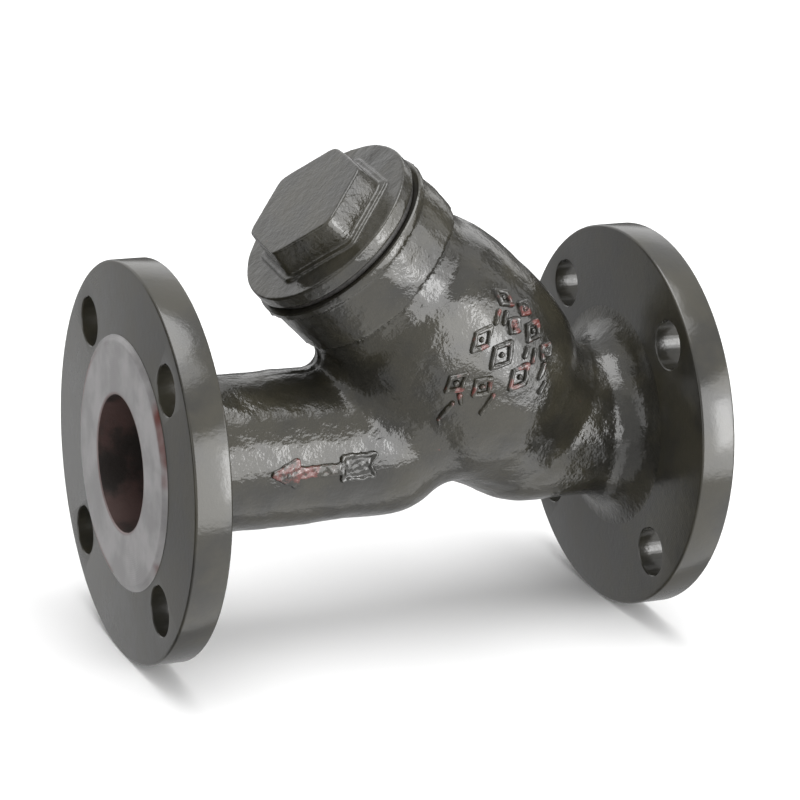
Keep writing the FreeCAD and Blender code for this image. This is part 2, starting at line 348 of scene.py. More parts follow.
def turned_piece(name, outline, segments, place):
    points, faces = turned_grid(outline, segments, place)
    piece = make_object(name, points, faces)
    fix_normals(piece)
    return piece


def fix_normals(piece):
    work = bmesh.new()
    work.from_mesh(piece.data)
    bmesh.ops.recalc_face_normals(work, faces=work.faces)
    work.to_mesh(piece.data)
    work.free()


def on_outlet(along, u, v):
    return (along, u, v)


def on_inlet(along, u, v):
    return (FACE_TO_FACE - along, u, -v)


def on_branch(along, u, v):
    return tuple(from_branch(along, u, v))


def arc_points(centre, radius, start, end, count):
    """Points (along, radius) on an arc, angles in degrees from the axis direction."""
    angles = np.radians(np.linspace(start, end, count))
    return [(centre[0] + radius * math.cos(a), centre[1] + radius * math.sin(a)) for a in angles]


# ---------------------------------------------------------------- the casting
def barrel_curve(height):
    """Radius of the smooth curve through the barrel's outline."""
    at, radius = np.array(BARREL_OUTLINE, float).T
    slope = np.gradient(radius, at)
    k = np.clip(np.searchsorted(at, height) - 1, 0, len(at) - 2)
    span = at[k + 1] - at[k]
    t = np.clip((height - at[k]) / span, 0, 1)
    start = (1 + 2 * t) * radius[k] + t * span * slope[k]
    end = (3 - 2 * t) * radius[k + 1] - (1 - t) * span * slope[k + 1]
    return (1 - t) ** 2 * start + t ** 2 * end


def barrel_radius(height, side, front):
    """Radius of the branch casting: barrel, waist, the uneven step and the neck band."""
    around = np.arctan2(side, front)
    wander = 0.55 * np.sin(2 * around + 0.7) + 0.3 * np.sin(5 * around) + 0.2 * np.sin(11 * around)
    step = NECK_STEP - 0.6 + wander
    band = NECK_R + 1.1 * smoothstep(side, 15, 37) * smoothstep(height, 112, 99)
    rise = smoothstep(height, step - 0.9, step + 0.5)
    groove = 0.45 * np.exp(-((height - step + 0.9) / 0.7) ** 2)
    rim_foot = NECK_TOP - NECK_RIM_H
    rim = smoothstep(height, rim_foot - 0.5, rim_foot + 0.5)
    band = band * (1 - rim) + NECK_RIM_R * rim
    return barrel_curve(height) * (1 - rise) + band * rise - groove


def casting_field(p):
    """Distance to the outside of the casting, without its crisp flange discs."""
    x = p[:, 0]
    rho = np.hypot(p[:, 1], p[:, 2])
    stub = FLANGE_BACK - 4
    outlet = np.hypot(np.maximum(x - OUTLET_END, 0), rho) - OUTLET_NECK_R
    outlet = np.maximum(outlet, stub - x)
    inlet = np.hypot(np.maximum(INLET_END - x, 0), rho) - INLET_NECK_R
    inlet = np.maximum(inlet, x - FACE_TO_FACE + stub)
    height, side, front = branch_coordinates(p)
    across = np.hypot(side, front)
    branch = (across - barrel_radius(height, side, front)) * 0.93
    branch = np.maximum(branch, BRANCH_FOOT - height)
    branch = np.maximum(branch, height - NECK_TOP - 4)
    half = CASTING_DISC_THICK / 2
    outlet_disc = np.maximum(np.abs(x - FLANGE_BACK + half) - half, rho - CASTING_DISC_R)
    inlet_disc = np.maximum(np.abs(x - FACE_TO_FACE + FLANGE_BACK - half) - half, rho - CASTING_DISC_R)
    left = round_union(outlet, outlet_disc, 8.0)
    right = round_union(inlet, inlet_disc, 14.0)
    pipes = round_union(left, right, 6.0)
    return round_union(pipes, branch, 9.0)


def casting_relief(p, normals):
    """Unevenness of a sand casting under thick paint, and the mould's parting line, in millimetres."""
    height, side, front = branch_coordinates(p)
    relief = 0.22 * wave_noise(p, 26, 11) + 0.10 * wave_noise(p, 9, 12) + 0.035 * wave_noise(p, 4, 13)
    on_flat = smoothstep(p[:, 0], 22, 15) + smoothstep(p[:, 0], FACE_TO_FACE - 22, FACE_TO_FACE - 15)
    wander = 0.7 * np.sin(p[:, 0] * 0.09) + 0.35 * np.sin(p[:, 0] * 0.31 + 1)
    ridge = np.exp(-((p[:, 1] - wander) / 0.9) ** 2)
    strength = 0.42 + 0.3 * np.sin(p[:, 0] * 0.17 + 2) * np.sin(p[:, 2] * 0.23)
    machined = smoothstep(height, NECK_TOP - 2.5, NECK_TOP - 0.5)
    relief = relief + ridge * strength * (np.abs(normals[:, 1]) < 0.6)
    return relief * (1 - np.clip(on_flat, 0, 1)) * (1 - machined)


def pipe_cavity(neck_r, end, place, name):
    inner = neck_r - WALL
    outline = [(-3, 0), (-3, BORE_R), (end - 10, BORE_R), (end, inner)]
    outline += arc_points((end, 0), inner, 90, 0, 14)[1:-1] + [(end + inner, 0)]
    return turned_piece(name, outline, 96, place)


def threaded_piece(name, outline, segments, growth):
    """A turned piece on the branch whose rows grow by growth(height, radius, angle)."""
    points, faces = turned_grid(outline, segments, lambda along, u, v: (along, u, v))
    height, u, v = np.array(points, float).T
    radius = np.hypot(u, v)
    grown = radius + growth(height, radius, np.arctan2(v, u))
    scale = grown / np.maximum(radius, TINY)
    piece = make_object(name, from_branch(height, u * scale, v * scale), faces)
    fix_normals(piece)
    return piece


def branch_cavity():
    """Tapped bore with its helical groove, chamber and the part of the seat above the partition."""
    row_step = 0.25
    thread_top = NECK_TOP - 1.4
    outline = [
        (NECK_TOP + 9, 0), (NECK_TOP + 9, 48), (NECK_TOP - 0.5, 48), (NECK_TOP - 0.5, NECK_RIM_R + 0.02),
        (NECK_TOP, NECK_RIM_R - 0.5), (NECK_TOP, FEMALE_ROOT_R + 0.3), (NECK_TOP - 1.2, FEMALE_CREST_R),
    ]
    rows = int((thread_top - THREAD_FOOT) / row_step)
    outline += [(thread_top - row_step * i, FEMALE_CREST_R) for i in range(rows + 1)]
    outline += [
        (84, FEMALE_CREST_R), (72, 35.4), (60, 36.9), (40, 37.4), (26, 36.4), (SEAT_TOP + 0.05, 32.6),
        (SEAT_TOP + 0.05, 26), (SEAT_TOP - SEAT_THICK, 26), (SEAT_TOP - SEAT_THICK, 0),
    ]

    def groove(height, radius, angle):
        threaded = (np.abs(radius - FEMALE_CREST_R) < TINY) & (height > THREAD_FOOT - 1)
        threaded &= height < thread_top + 0.1
        return threaded * thread_height(height, -angle, FEMALE_ROOT_R - FEMALE_CREST_R)

    return threaded_piece("branch_cavity", outline, 120, groove)


def thread_height(height, angle, depth):
    """Height of a 60 degree ridge whose centre winds up one pitch a turn, at points of a cylinder."""
    phase = (height - THREAD_DATUM - PITCH * angle / (2 * math.pi)) / PITCH
    off = np.abs(phase - np.round(phase)) * PITCH
    return np.clip(depth - np.maximum(off - 0.19, 0) / math.tan(math.radians(30)), 0, depth)


def seat_partition():
    """The slanted wall inside the casting, with the hole and recess that the basket sits in."""
    low = SEAT_TOP - SEAT_THICK
    step = SEAT_TOP - SEAT_RECESS_DEPTH
    outline = [
        (low, SEAT_HOLE_R), (step, SEAT_HOLE_R), (step, SEAT_RECESS_R), (SEAT_TOP, SEAT_RECESS_R),
        (SEAT_TOP, 34.0), (low, 34.0), (low, SEAT_HOLE_R),
    ]
    return turned_piece("seat_partition", outline, 96, on_branch)


def flange_disc(place, name):
    """Crisp machined flange: rim, raised face with its bevel and slightly broken edges."""
    proud = 0.02
    hollow = 10.0
    back = FLANGE_BACK + proud
    outline = [(hollow, BORE_R - proud), (0.35, BORE_R - proud), (0.0, BORE_R + 0.4)]
    outline += [(0.0, RAISED_FACE_R - 0.5)]
    outline += [(0.06, RAISED_FACE_R), (0.35, RAISED_FACE_R + 0.65), (1.15, RAISED_FACE_FOOT_R - 0.9)]
    outline += [(1.45, RAISED_FACE_FOOT_R - 0.2), (RAISED_FACE_H, RAISED_FACE_FOOT_R + 0.6)]
    outline += arc_points((RAISED_FACE_H + 1.0, FLANGE_R - 1.0), 1.0, 180, 90, 5)
    outline += arc_points((back - 1.0, FLANGE_R - 1.0), 1.0, 90, 0, 5)
    outline += [(back, 44.0), (back - 4.0, 40.0), (hollow, 40.0), (hollow, BORE_R - proud)]
    piece = turned_piece(name, outline, 256, place)
    holes = []
    for k in range(4):
        angle = math.radians(45 + 90 * k)
        y, z = BOLT_CIRCLE_R * math.cos(angle), BOLT_CIRCLE_R * math.sin(angle)
        bevel = 0.35
        drill = [
            (-3, 0), (-3, BOLT_HOLE_R + bevel), (RAISED_FACE_H, BOLT_HOLE_R + bevel),
            (RAISED_FACE_H + bevel, BOLT_HOLE_R), (back - bevel, BOLT_HOLE_R), (back, BOLT_HOLE_R + bevel),
            (back + 3, BOLT_HOLE_R + bevel), (back + 3, 0),
        ]
        holes.append(turned_piece(
            f"{name}_hole", drill, 48, lambda a, u, v, y=y, z=z: place(a, y + u, z + v)))
    cut_away(piece, holes)
    return piece


def join(pieces, name):
    """One object from several, by copying their meshes into the first."""
    work = bmesh.new()
    for piece in pieces:
        work.from_mesh(piece.data)
    mesh = bpy.data.meshes.new(name)
    work.to_mesh(mesh)
    work.free()
    for piece in pieces:
        bpy.data.objects.remove(piece)
    joined = bpy.data.objects.new(name, mesh)
    bpy.context.scene.collection.objects.link(joined)
    return joined


def body_casting():
    low = (1.0, -56, -56)
    high = (FACE_TO_FACE - 1.0, 56, 116)
    p, faces, normals = mesh_of_field(casting_field, low, high, FINE_STEP)
    p = p + normals * casting_relief(p, normals)[:, None]
    outside = make_object("casting_outside", p, faces)
    fix_normals(outside)
    inlet_length = FACE_TO_FACE - INLET_END
    cavities = [
        pipe_cavity(OUTLET_NECK_R, OUTLET_END, on_outlet, "outlet_cavity"),
        pipe_cavity(INLET_NECK_R, inlet_length, on_inlet, "inlet_cavity"),
        branch_cavity(),
    ]
    cut_away(outside, cavities)
    discs = [flange_disc(on_outlet, "outlet_disc"), flange_disc(on_inlet, "inlet_disc")]
    piece = join([outside, *discs, seat_partition()], "strainer_casting")
    smooth_shading(piece)
    paint_regions(piece)
    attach(piece, "strainer_body")
    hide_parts("body_casting")
    return piece


def paint_regions(piece):
    """Glossy paint outside, bare raised faces, primer in the waterways and thinner paint on the flanges."""
    piece.data.materials.clear()
    for material in (casting_paint, raised_face_metal, primer_inside, flange_paint):
        piece.data.materials.append(material)
    count = len(piece.data.polygons)
    centres = np.empty(count * 3)
    piece.data.polygons.foreach_get("center", centres)
    centres = centres.reshape(-1, 3) / MM
    x = centres[:, 0]
    rho = np.hypot(centres[:, 1], centres[:, 2])
    from_face = np.minimum(x, FACE_TO_FACE - x)
    height, side, front = branch_coordinates(centres)
    region = np.zeros(count, int)
    region[casting_field(centres) < -1.6] = 2
    region[(from_face < FLANGE_BACK + 0.05) & (rho > 44)] = 3
    region[(np.hypot(side, front) < NECK_RIM_R - 1) & (height > NECK_TOP - 0.1)] = 3
    region[(from_face < RAISED_FACE_H - 0.1) & (rho < RAISED_FACE_FOOT_R) & (rho > BORE_R + 0.1)] = 1
    region[(from_face < FLANGE_BACK) & (rho < BORE_R + 0.1)] = 2
    piece.data.polygons.foreach_set("material_index", region)


# ---------------------------------------------------------------- the cap
def rounded_block(across, along, edge):
    """Intersection of two half spaces whose common edge is rounded."""
    a, b = np.maximum(across + edge, 0), np.maximum(along + edge, 0)
    return np.hypot(a, b) - edge + np.minimum(np.maximum(across + edge, along + edge), 0)


def hexagon_field(u, v, flats, softness):
    """Distance to a hexagonal prism with softened corners."""
    total = np.zeros(len(u))
    for k in range(6):
        angle = CAP_HEX_TURN + math.pi / 6 + k * math.pi / 3
        side = u * math.cos(angle) + v * math.sin(angle) - flats / 2
        total += np.exp(np.clip(side / softness, -60, 40))
    return softness * np.log(np.maximum(total, 1e-20))


def cap_field(p):
    """Hexagon and its ledge on a disc, with soft painted edges; p holds (height, side, front)."""
    height, u, v = p[:, 0], p[:, 1], p[:, 2]
    rise = np.clip((height - CAP_DISC_TOP) / (HEX_TOP - CAP_DISC_TOP), 0, 1)
    flats = CAP_HEX_FLATS_FOOT + (CAP_HEX_FLATS_TOP - CAP_HEX_FLATS_FOOT) * rise
    head = rounded_block(hexagon_field(u, v, flats, 1.1), height - HEX_TOP, 0.7)
    head = np.maximum(head, CAP_DISC_TOP - 3 - height)
    ledge = hexagon_field(u, v, CAP_LEDGE_FLATS, 0.8)
    ledge = rounded_block(ledge, height - CAP_DISC_TOP - CAP_LEDGE_H, 0.6)
    ledge = np.maximum(ledge, CAP_DISC_TOP - 3 - height)
    across = np.hypot(u, v) - CAP_DISC_R
    slab = np.abs(height - (GASKET_TOP + CAP_DISC_TOP) / 2) - CAP_DISC_THICK / 2
    disc = rounded_block(across, slab, 0.8)
    return round_union(round_union(head, ledge, 1.0), disc, 0.9)


def cap_skirt():
    """Threaded skirt as a grid on its cylinder, with run-outs at both ends, and the basket's socket."""
    row_step = 0.2
    top = GASKET_TOP + 1.5
    outline = [(top, 0), (top, MALE_ROOT_R)]
    rows = int((top - CAP_SKIRT_END - 0.8) / row_step)
    outline += [(top - row_step * (i + 1), MALE_ROOT_R) for i in range(rows)]
    outline += [(CAP_SKIRT_END, MALE_ROOT_R - 0.8), (CAP_SKIRT_END, CAP_RECESS_R + 0.4)]
    outline += [(CAP_SKIRT_END + 0.4, CAP_RECESS_R), (CAP_RECESS_TOP, CAP_RECESS_R), (CAP_RECESS_TOP, 0)]

    def ridge(height, radius, angle):
        fade = smoothstep(height, CAP_SKIRT_END + 0.6, CAP_SKIRT_END + 2.2)
        fade = fade * smoothstep(height, NECK_TOP - 1.0, NECK_TOP - 3.0)
        fade = fade * (np.abs(radius - MALE_ROOT_R) < TINY)
        return fade * thread_height(height, -angle, MALE_CREST_R - MALE_ROOT_R)

    return threaded_piece("cap_skirt", outline, 144, ridge)


def screw_cap():
    low = (GASKET_TOP - 2, -40, -40)
    high = (HEX_TOP + 2, 40, 40)
    p, faces, normals = mesh_of_field(cap_field, low, high, CAP_STEP)
    relief = 0.12 * wave_noise(p, 16, 21) + 0.035 * wave_noise(p, 6, 22) + 0.018 * wave_noise(p, 2.4, 23)
    side_wall = smoothstep(p[:, 0], GASKET_TOP + 0.6, GASKET_TOP + 1.6)
    top_face = smoothstep(p[:, 0], HEX_TOP - 0.5, HEX_TOP - 0.1)
    p = p + normals * (relief * side_wall * (1 - 0.75 * top_face))[:, None]
    head = make_object("cap_head", from_branch(p[:, 0], p[:, 1], p[:, 2]), faces)
    fix_normals(head)
    piece = join([head, cap_skirt()], "hexagon_cap")
    smooth_shading(piece, 40)
    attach(piece, "screw_cap")
    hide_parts("cap")
    return piece


# ---------------------------------------------------------------- raised arrow and marks
def drawn_to_surface(p):
    """Points drawn onto the casting's surface, and the outward normals there."""
    for _ in range(6):
        g = field_gradient(casting_field, p)
        p = p - (casting_field(p) / np.maximum((g * g).sum(1), 0.05))[:, None] * g
    g = field_gradient(casting_field, p)
    return p, g / np.linalg.norm(g, axis=1)[:, None]


def segment_distance(u, v, start, end):
    """Distance in the plane from (u, v) to a straight stroke."""
    du, dv = end[0] - start[0], end[1] - start[1]
    length = max(du * du + dv * dv, 1e-9)
    t = np.clip(((u - start[0]) * du + (v - start[1]) * dv) / length, 0, 1)
    return np.hypot(u - start[0] - t * du, v - start[1] - t * dv)


def strokes_distance(u, v, strokes):
    distance = np.full(u.shape, 1e9)
    for stroke in strokes:
        for start, end in zip(stroke, stroke[1:]):
            distance = np.minimum(distance, segment_distance(u, v, start, end))
    return distance


def polygon_distance(u, v, corners):
    """Signed distance in the plane to a closed polygon, negative inside."""
    edges = list(zip(corners, corners[1:] + corners[:1]))
    distance = strokes_distance(u, v, [[a, b] for a, b in edges])
    inside = np.zeros(u.shape, bool)
    for (ua, va), (ub, vb) in edges:
        crosses = (va > v) != (vb > v)
        slope = (ub - ua) / (vb - va) if abs(vb - va) > 1e-9 else 0.0
        inside ^= crosses & (u < ua + (v - va) * slope)
    return np.where(inside, -distance, distance)


def relief_piece(name, u_axis, v_axis, start_points, height, worn=lambda u, v: 1.0):
    """A raised skin on the casting: a fine sheet that dips below the surface wherever it isn't raised.

    Only the cells near a raised stroke are kept."""
    u, v = np.meshgrid(u_axis, v_axis, indexing="ij")
    raised = height(u, v)
    p, normals = drawn_to_surface(start_points(u.ravel(), v.ravel()))
    lift = np.where(raised.ravel() > 0.02, raised.ravel(), -0.25)
    lift = lift + casting_relief(p, normals) + 0.05 * wave_noise(p, 3.0, 31) * (raised.ravel() > 0.02)
    p = p + normals * lift[:, None]
    rows, columns = u.shape
    number = np.arange(rows * columns).reshape(rows, columns)
    near = raised > 0.02
    cell = near[:-1, :-1] | near[1:, :-1] | near[1:, 1:] | near[:-1, 1:]
    quads = np.stack([number[:-1, :-1], number[1:, :-1], number[1:, 1:], number[:-1, 1:]], -1)[cell]
    used, quads = np.unique(quads, return_inverse=True)
    quads = quads.reshape(-1, 4)
    piece = make_object(name, p[used], quads)
    wear = piece.data.attributes.new("wear", "FLOAT", "POINT")
    top = smoothstep(raised.ravel()[used], 0.75, 1.05) * worn(u.ravel()[used], v.ravel()[used])
    wear.data.foreach_set("value", top.astype(np.float32))
    fix_normals(piece)
    face = piece.data.polygons[0]
    outward = normals[used][face.vertices[0]]
    if face.normal.dot(Vector(outward)) < 0:
        piece.data.flip_normals()
    smooth_faces(piece)
    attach(piece, "strainer_body")
    return piece


def plateau(distance, width, top):
    """Height of a raised shape with soft painted flanks, from the distance inside its edge."""
    t = np.clip(-distance / width, 0, 1)
    return top * np.sqrt(np.maximum(1 - (1 - t) ** 2, 0))


def surface_waves(u, v, size, seed):
    """Smooth random waves over points given by two surface coordinates."""
    flat = np.stack([u.ravel(), v.ravel(), np.zeros(u.size)], 1)
    return wave_noise(flat, size, seed).reshape(u.shape)


ARROW_LINE_Z = 0.8
ARROW_UPPER = [(50, 0), (59.2, 4.6), (59.2, 1.1), (78.2, 1.1), (78.2, 4.1), (90.6, 4.1), (88.2, 0)]
ARROW_EDGE = 1.4


def flow_arrow():
    """The cast arrow on the outlet neck: head and shaft solid, the fletching a raised outline."""
    corners = ARROW_UPPER + [(x, -z) for x, z in reversed(ARROW_UPPER[1:-1])]

    def height(u, v):
        distance = polygon_distance(u, v, corners) - ARROW_EDGE + 0.25 * surface_waves(u, v, 5, 31)
        solid = plateau(distance, 0.6, 1.2)
        hollow = smoothstep(-distance, 1.0, 2.0) * smoothstep(u, 77.5, 79.5)
        ragged = 0.13 * surface_waves(u, v, 2.6, 32) * (solid > 0.3)
        return np.maximum(solid + ragged - 0.6 * hollow * solid, 0)

    def start_points(u, v):
        return np.stack([u, -np.sqrt(OUTLET_NECK_R ** 2 - (v + ARROW_LINE_Z) ** 2), v + ARROW_LINE_Z], 1)

    step = 0.26
    along, up = np.arange(46, 94, step), np.arange(-8, 8, step)
    return relief_piece("raised_arrow", along, up, start_points, height, lambda u, v: smoothstep(u, 76, 66))


# Lozenges and bars, each by the distance round the barrel from its front line, the height on its axis and
# two half sizes
MARK_LOZENGES = [
    (27.0, 66.0, 2.8, 4.6), (7.5, 65.0, 5.8, 3.3), (30.0, 55.8, 3.2, 2.8), (20.8, 56.6, 3.4, 2.8),
    (8.6, 54.4, 6.4, 4.2), (-5.0, 51.4, 4.6, 3.6), (-11.0, 60.0, 5.2, 3.2), (25.0, 48.0, 4.8, 3.2),
    (7.5, 42.6, 5.8, 3.6), (23.0, 38.4, 3.6, 2.2),
]
MARK_BARS = [
    (18.4, 64.8, 2.2, 0.6), (20.6, 61.6, 2.2, 0.6), (-14.2, 53.6, 0.9, 1.5), (16.4, 46.4, 1.6, 0.6),
    (17.4, 42.4, 2.2, 0.8), (-8.0, 44.6, 4.0, 1.2), (15.6, 35.4, 2.6, 0.7), (-21.0, 53.2, 3.6, 1.0),
    (-26.4, 50.6, 0.4, 0.8), (11.4, 31.0, 2.0, 0.3),
]


def mark_strokes():
    """A generic pattern of studded lozenges and bars that follows the barrel."""
    strokes = []
    for u, v, across, up in MARK_LOZENGES:
        strokes.append([(u + across, v), (u, v + up), (u - across, v), (u, v - up), (u + across, v)])
        strokes.append([(u - 0.2, v), (u + 0.2, v)])
    for u, v, across, up in MARK_BARS:
        strokes.append([(u - across, v - up), (u + across, v + up)])
    return strokes


def barrel_marks():
    strokes = mark_strokes()
    around = 43.0

    def height(u, v):
        distance = strokes_distance(u, v, strokes) - 1.05 + 0.15 * surface_waves(u, v, 6, 41)
        raised = plateau(distance, 0.9, 1.4)
        return np.maximum(raised + 0.14 * surface_waves(u, v, 3.2, 42) * (raised > 0.4), 0)

    def rubbed(u, v):
        return smoothstep(surface_waves(u, v, 7, 43), 0.1, 0.6)

    def start_points(u, v):
        radius = barrel_curve(v)
        angle = u / around
        return from_branch(v, radius * np.sin(angle), radius * np.cos(angle))

    step = 0.24
    around_axis, height_axis = np.arange(-29, 36, step), np.arange(27, 74, step)
    return relief_piece("raised_marks", around_axis, height_axis, start_points, height, rubbed)


# ---------------------------------------------------------------- basket and gasket
def edge_ring(outline, edge):
    """A closed (along, radius) outline with its corners broken by that much."""
    soft = []
    points = outline[:-1]
    for k, corner in enumerate(points):
        before, after = np.array(points[k - 1]), np.array(points[(k + 1) % len(points)])
        at = np.array(corner)
        for other in (before, after):
            away = other - at
            soft.append(tuple(at + away / np.linalg.norm(away) * edge))
    return soft + [soft[0]]


def basket_rings():
    """Rolled end rings with a lip over the end of the tube."""
    for node, lip_up in (("screen_bottom_ring", False), ("screen_top_ring", True)):
        low, high = branch_span(node)
        start, end = (high, low) if lip_up else (low, high)
        step = start - 1.0 if lip_up else start + 1.0
        outline = [
            (start, RING_BORE_R), (start, RING_R), (end, RING_R), (end, TUBE_R + 0.05),
            (step, TUBE_R + 0.05), (step, RING_BORE_R), (start, RING_BORE_R),
        ]
        piece = turned_piece(f"{node}_rolled", edge_ring(outline, 0.22), 128, on_branch)
        smooth_shading(piece, 30)
        use_material(piece, sheet_steel)
        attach(piece, "screen_basket")
        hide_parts(node)


def branch_span(node):
    """Lowest and highest point of a node along the branch axis."""
    points = np.array([v.co[:] for v in frame["nodes"][node].data.vertices]) / MM
    height = branch_coordinates(points)[0]
    return float(height.min()), float(height.max())


def wire_mesh_liner():
    """Woven wire cloth inside the tube: upright wires and hoops that pass over and under each other."""
    low, high = branch_span("screen_mesh")
    radius = TUBE_R - TUBE_WALL - 0.3
    wire = 0.13
    uprights = 96
    pitch = 2 * math.pi * radius / uprights
    hoops = int((high - low - 2 * wire) / pitch)
    start = low + ((high - low) - (hoops - 1) * pitch) / 2
    points, faces = [], []

    def strand(path, out, closed):
        base = len(points)
        total = len(path)
        for k, (at, away) in enumerate(zip(path, out)):
            ahead = path[(k + 1) % total] if (closed or k + 1 < total) else path[k]
            behind = path[k - 1] if (closed or k > 0) else path[k]
            along = (ahead - behind) / np.linalg.norm(ahead - behind)
            side = np.cross(along, away)
            for a in (0, 1, 2, 3):
                angle = math.pi / 2 * a + math.pi / 4
                points.append(at + wire * (math.cos(angle) * away + math.sin(angle) * side))
        for k in range(total if closed else total - 1):
            m = (k + 1) % total
            for a in range(4):
                b = (a + 1) % 4
                faces.append((base + 4 * k + a, base + 4 * k + b, base + 4 * m + b, base + 4 * m + a))

    for w in range(uprights):
        angle = 2 * math.pi * w / uprights
        away = math.cos(angle) * BRANCH_SIDE + math.sin(angle) * FRONT
        heights = [low] + [start + k * pitch for k in range(hoops)] + [high]
        offsets = [0.0] + [wire * (1 if (k + w) % 2 else -1) for k in range(hoops)] + [0.0]
        path = [from_branch(h, 0, 0) + away * (radius + o) for h, o in zip(heights, offsets)]
        strand(path, [away] * len(path), False)
    for k in range(hoops):
        path, out = [], []
        for w in range(uprights):
            angle = 2 * math.pi * w / uprights
            away = math.cos(angle) * BRANCH_SIDE + math.sin(angle) * FRONT
            offset = wire * (-1 if (k + w) % 2 else 1)
            path.append(from_branch(start + k * pitch, 0, 0) + away * (radius + offset))
            out.append(away)
        strand(path, out, True)
    piece = make_object("woven_wire_liner", points, faces)
    fix_normals(piece)
    smooth_faces(piece)
    use_material(piece, wire_cloth)
    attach(piece, "screen_basket")
    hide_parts("screen_mesh")


def compressed_gasket():
    """Sheet gasket, slightly bulged and uneven at its outer edge."""
    mid = (NECK_TOP + GASKET_TOP) / 2
    half = GASKET_THICK / 2 - 0.06
    outline = [(mid - half, MALE_CREST_R + 0.5)]
    bulge = 0.45
    for a in np.linspace(0, math.pi, 9):
        outline.append((mid - half * math.cos(a), GASKET_R - bulge + bulge * math.sin(a)))
    outline += [(mid + half, MALE_CREST_R + 0.5), outline[0]]
    piece = turned_piece("compressed_gasket", outline, 160, on_branch)
    for vertex in piece.data.vertices:
        at = np.array(vertex.co) / MM
        height, side, front = branch_coordinates(at)
        radius = math.hypot(side, front)
        if radius > GASKET_R - 1:
            around = math.atan2(side, front)
            swell = 0.12 * math.sin(3 * around + 1) + 0.07 * math.sin(11 * around) - 0.15
            vertex.co = Vector((at + (side * BRANCH_SIDE + front * FRONT) / radius * swell) * MM)
    smooth_shading(piece, 40)
    use_material(piece, gasket_sheet)
    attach(piece, "gasket")
    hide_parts("cap_gasket")


def finish_cad_piece(node, material):
    """A CAD node that is shown as it is, in its own material."""
    piece = frame["nodes"][node]
    use_material(piece, material)


# ---------------------------------------------------------------- materials
def new_material(name):
    material = bpy.data.materials.new(name)
    material.use_nodes = True
    tree = material.node_tree
    return material, tree, tree.nodes["Principled BSDF"]


def add(tree, kind, **settings):
    node = tree.nodes.new(kind)
    for key, value in settings.items():
        if key in node.inputs:
            node.inputs[key].default_value = value
        else:
            setattr(node, key, value)
    return node


def math_node(tree, operation, a, b=None):
    node = tree.nodes.new("ShaderNodeMath")
    node.operation = operation
    for socket, value in zip(node.inputs, (a, b)):
        if value is None:
            continue
        if hasattr(value, "links"):
            tree.links.new(value, socket)
        else:
            socket.default_value = value
    return node.outputs[0]


def ramp(tree, source, low, high, to_low=0.0, to_high=1.0):
    node = tree.nodes.new("ShaderNodeMapRange")
    node.interpolation_type = "SMOOTHSTEP"
    node.inputs["From Min"].default_value = low
    node.inputs["From Max"].default_value = high
    node.inputs["To Min"].default_value = to_low
    node.inputs["To Max"].default_value = to_high
    tree.links.new(source, node.inputs["Value"])
    return node.outputs["Result"]


def mix_colour(tree, factor, a, b):
    node = tree.nodes.new("ShaderNodeMix")
    node.data_type = "RGBA"
    tree.links.new(factor, node.inputs["Factor"])
    for value, socket in ((a, node.inputs["A"]), (b, node.inputs["B"])):
        if hasattr(value, "links"):
            tree.links.new(value, socket)
        else:
            socket.default_value = (*value, 1)
    return node.outputs["Result"]


def object_point(tree):
    return add(tree, "ShaderNodeTexCoord").outputs["Object"]


def noise(tree, place, scale, detail=3.0, roughness=0.55):
    node = add(tree, "ShaderNodeTexNoise", Scale=scale, Detail=detail, Roughness=roughness)
    tree.links.new(place, node.inputs["Vector"])
    return node.outputs["Fac"]


def distance_from_pipe_axis(tree, place):
    split = tree.nodes.new("ShaderNodeSeparateXYZ")
    tree.links.new(place, split.inputs[0])
    y, z = split.outputs["Y"], split.outputs["Z"]
    square = math_node(tree, "MULTIPLY", y, y)
    square = math_node(tree, "ADD", square, math_node(tree, "MULTIPLY", z, z))
    return math_node(tree, "SQRT", square)


def bumps(tree, layers):
    """A chain of bump nodes from (height, strength, distance in metres) layers."""
    normal = None
    for height, strength, distance in layers:
        node = add(tree, "ShaderNodeBump", Strength=strength, Distance=distance)
        tree.links.new(height, node.inputs["Height"])
        if normal is not None:
            tree.links.new(normal, node.inputs["Normal"])
        normal = node.outputs["Normal"]
    return normal


def connect(tree, shader, colour, roughness, normal):
    """Links the three sockets that every material here varies."""
    for socket, value in (("Base Color", colour), ("Roughness", roughness), ("Normal", normal)):
        tree.links.new(value, shader.inputs[socket])


PAINT_DARK = (0.017, 0.016, 0.0125)
PAINT_LIGHT = (0.031, 0.028, 0.0185)
PRIMER = (0.115, 0.030, 0.024)
TURNING_PITCH = 0.0011
SPIRAL_PITCH = 0.0008


def glossy_coat(tree, shader, normal, rough):
    shader.inputs["Specular IOR Level"].default_value = 0.15
    shader.inputs["Coat Weight"].default_value = 1.0
    shader.inputs["Coat Roughness"].default_value = rough
    shader.inputs["Coat IOR"].default_value = 1.58
    tree.links.new(normal, shader.inputs["Coat Normal"])


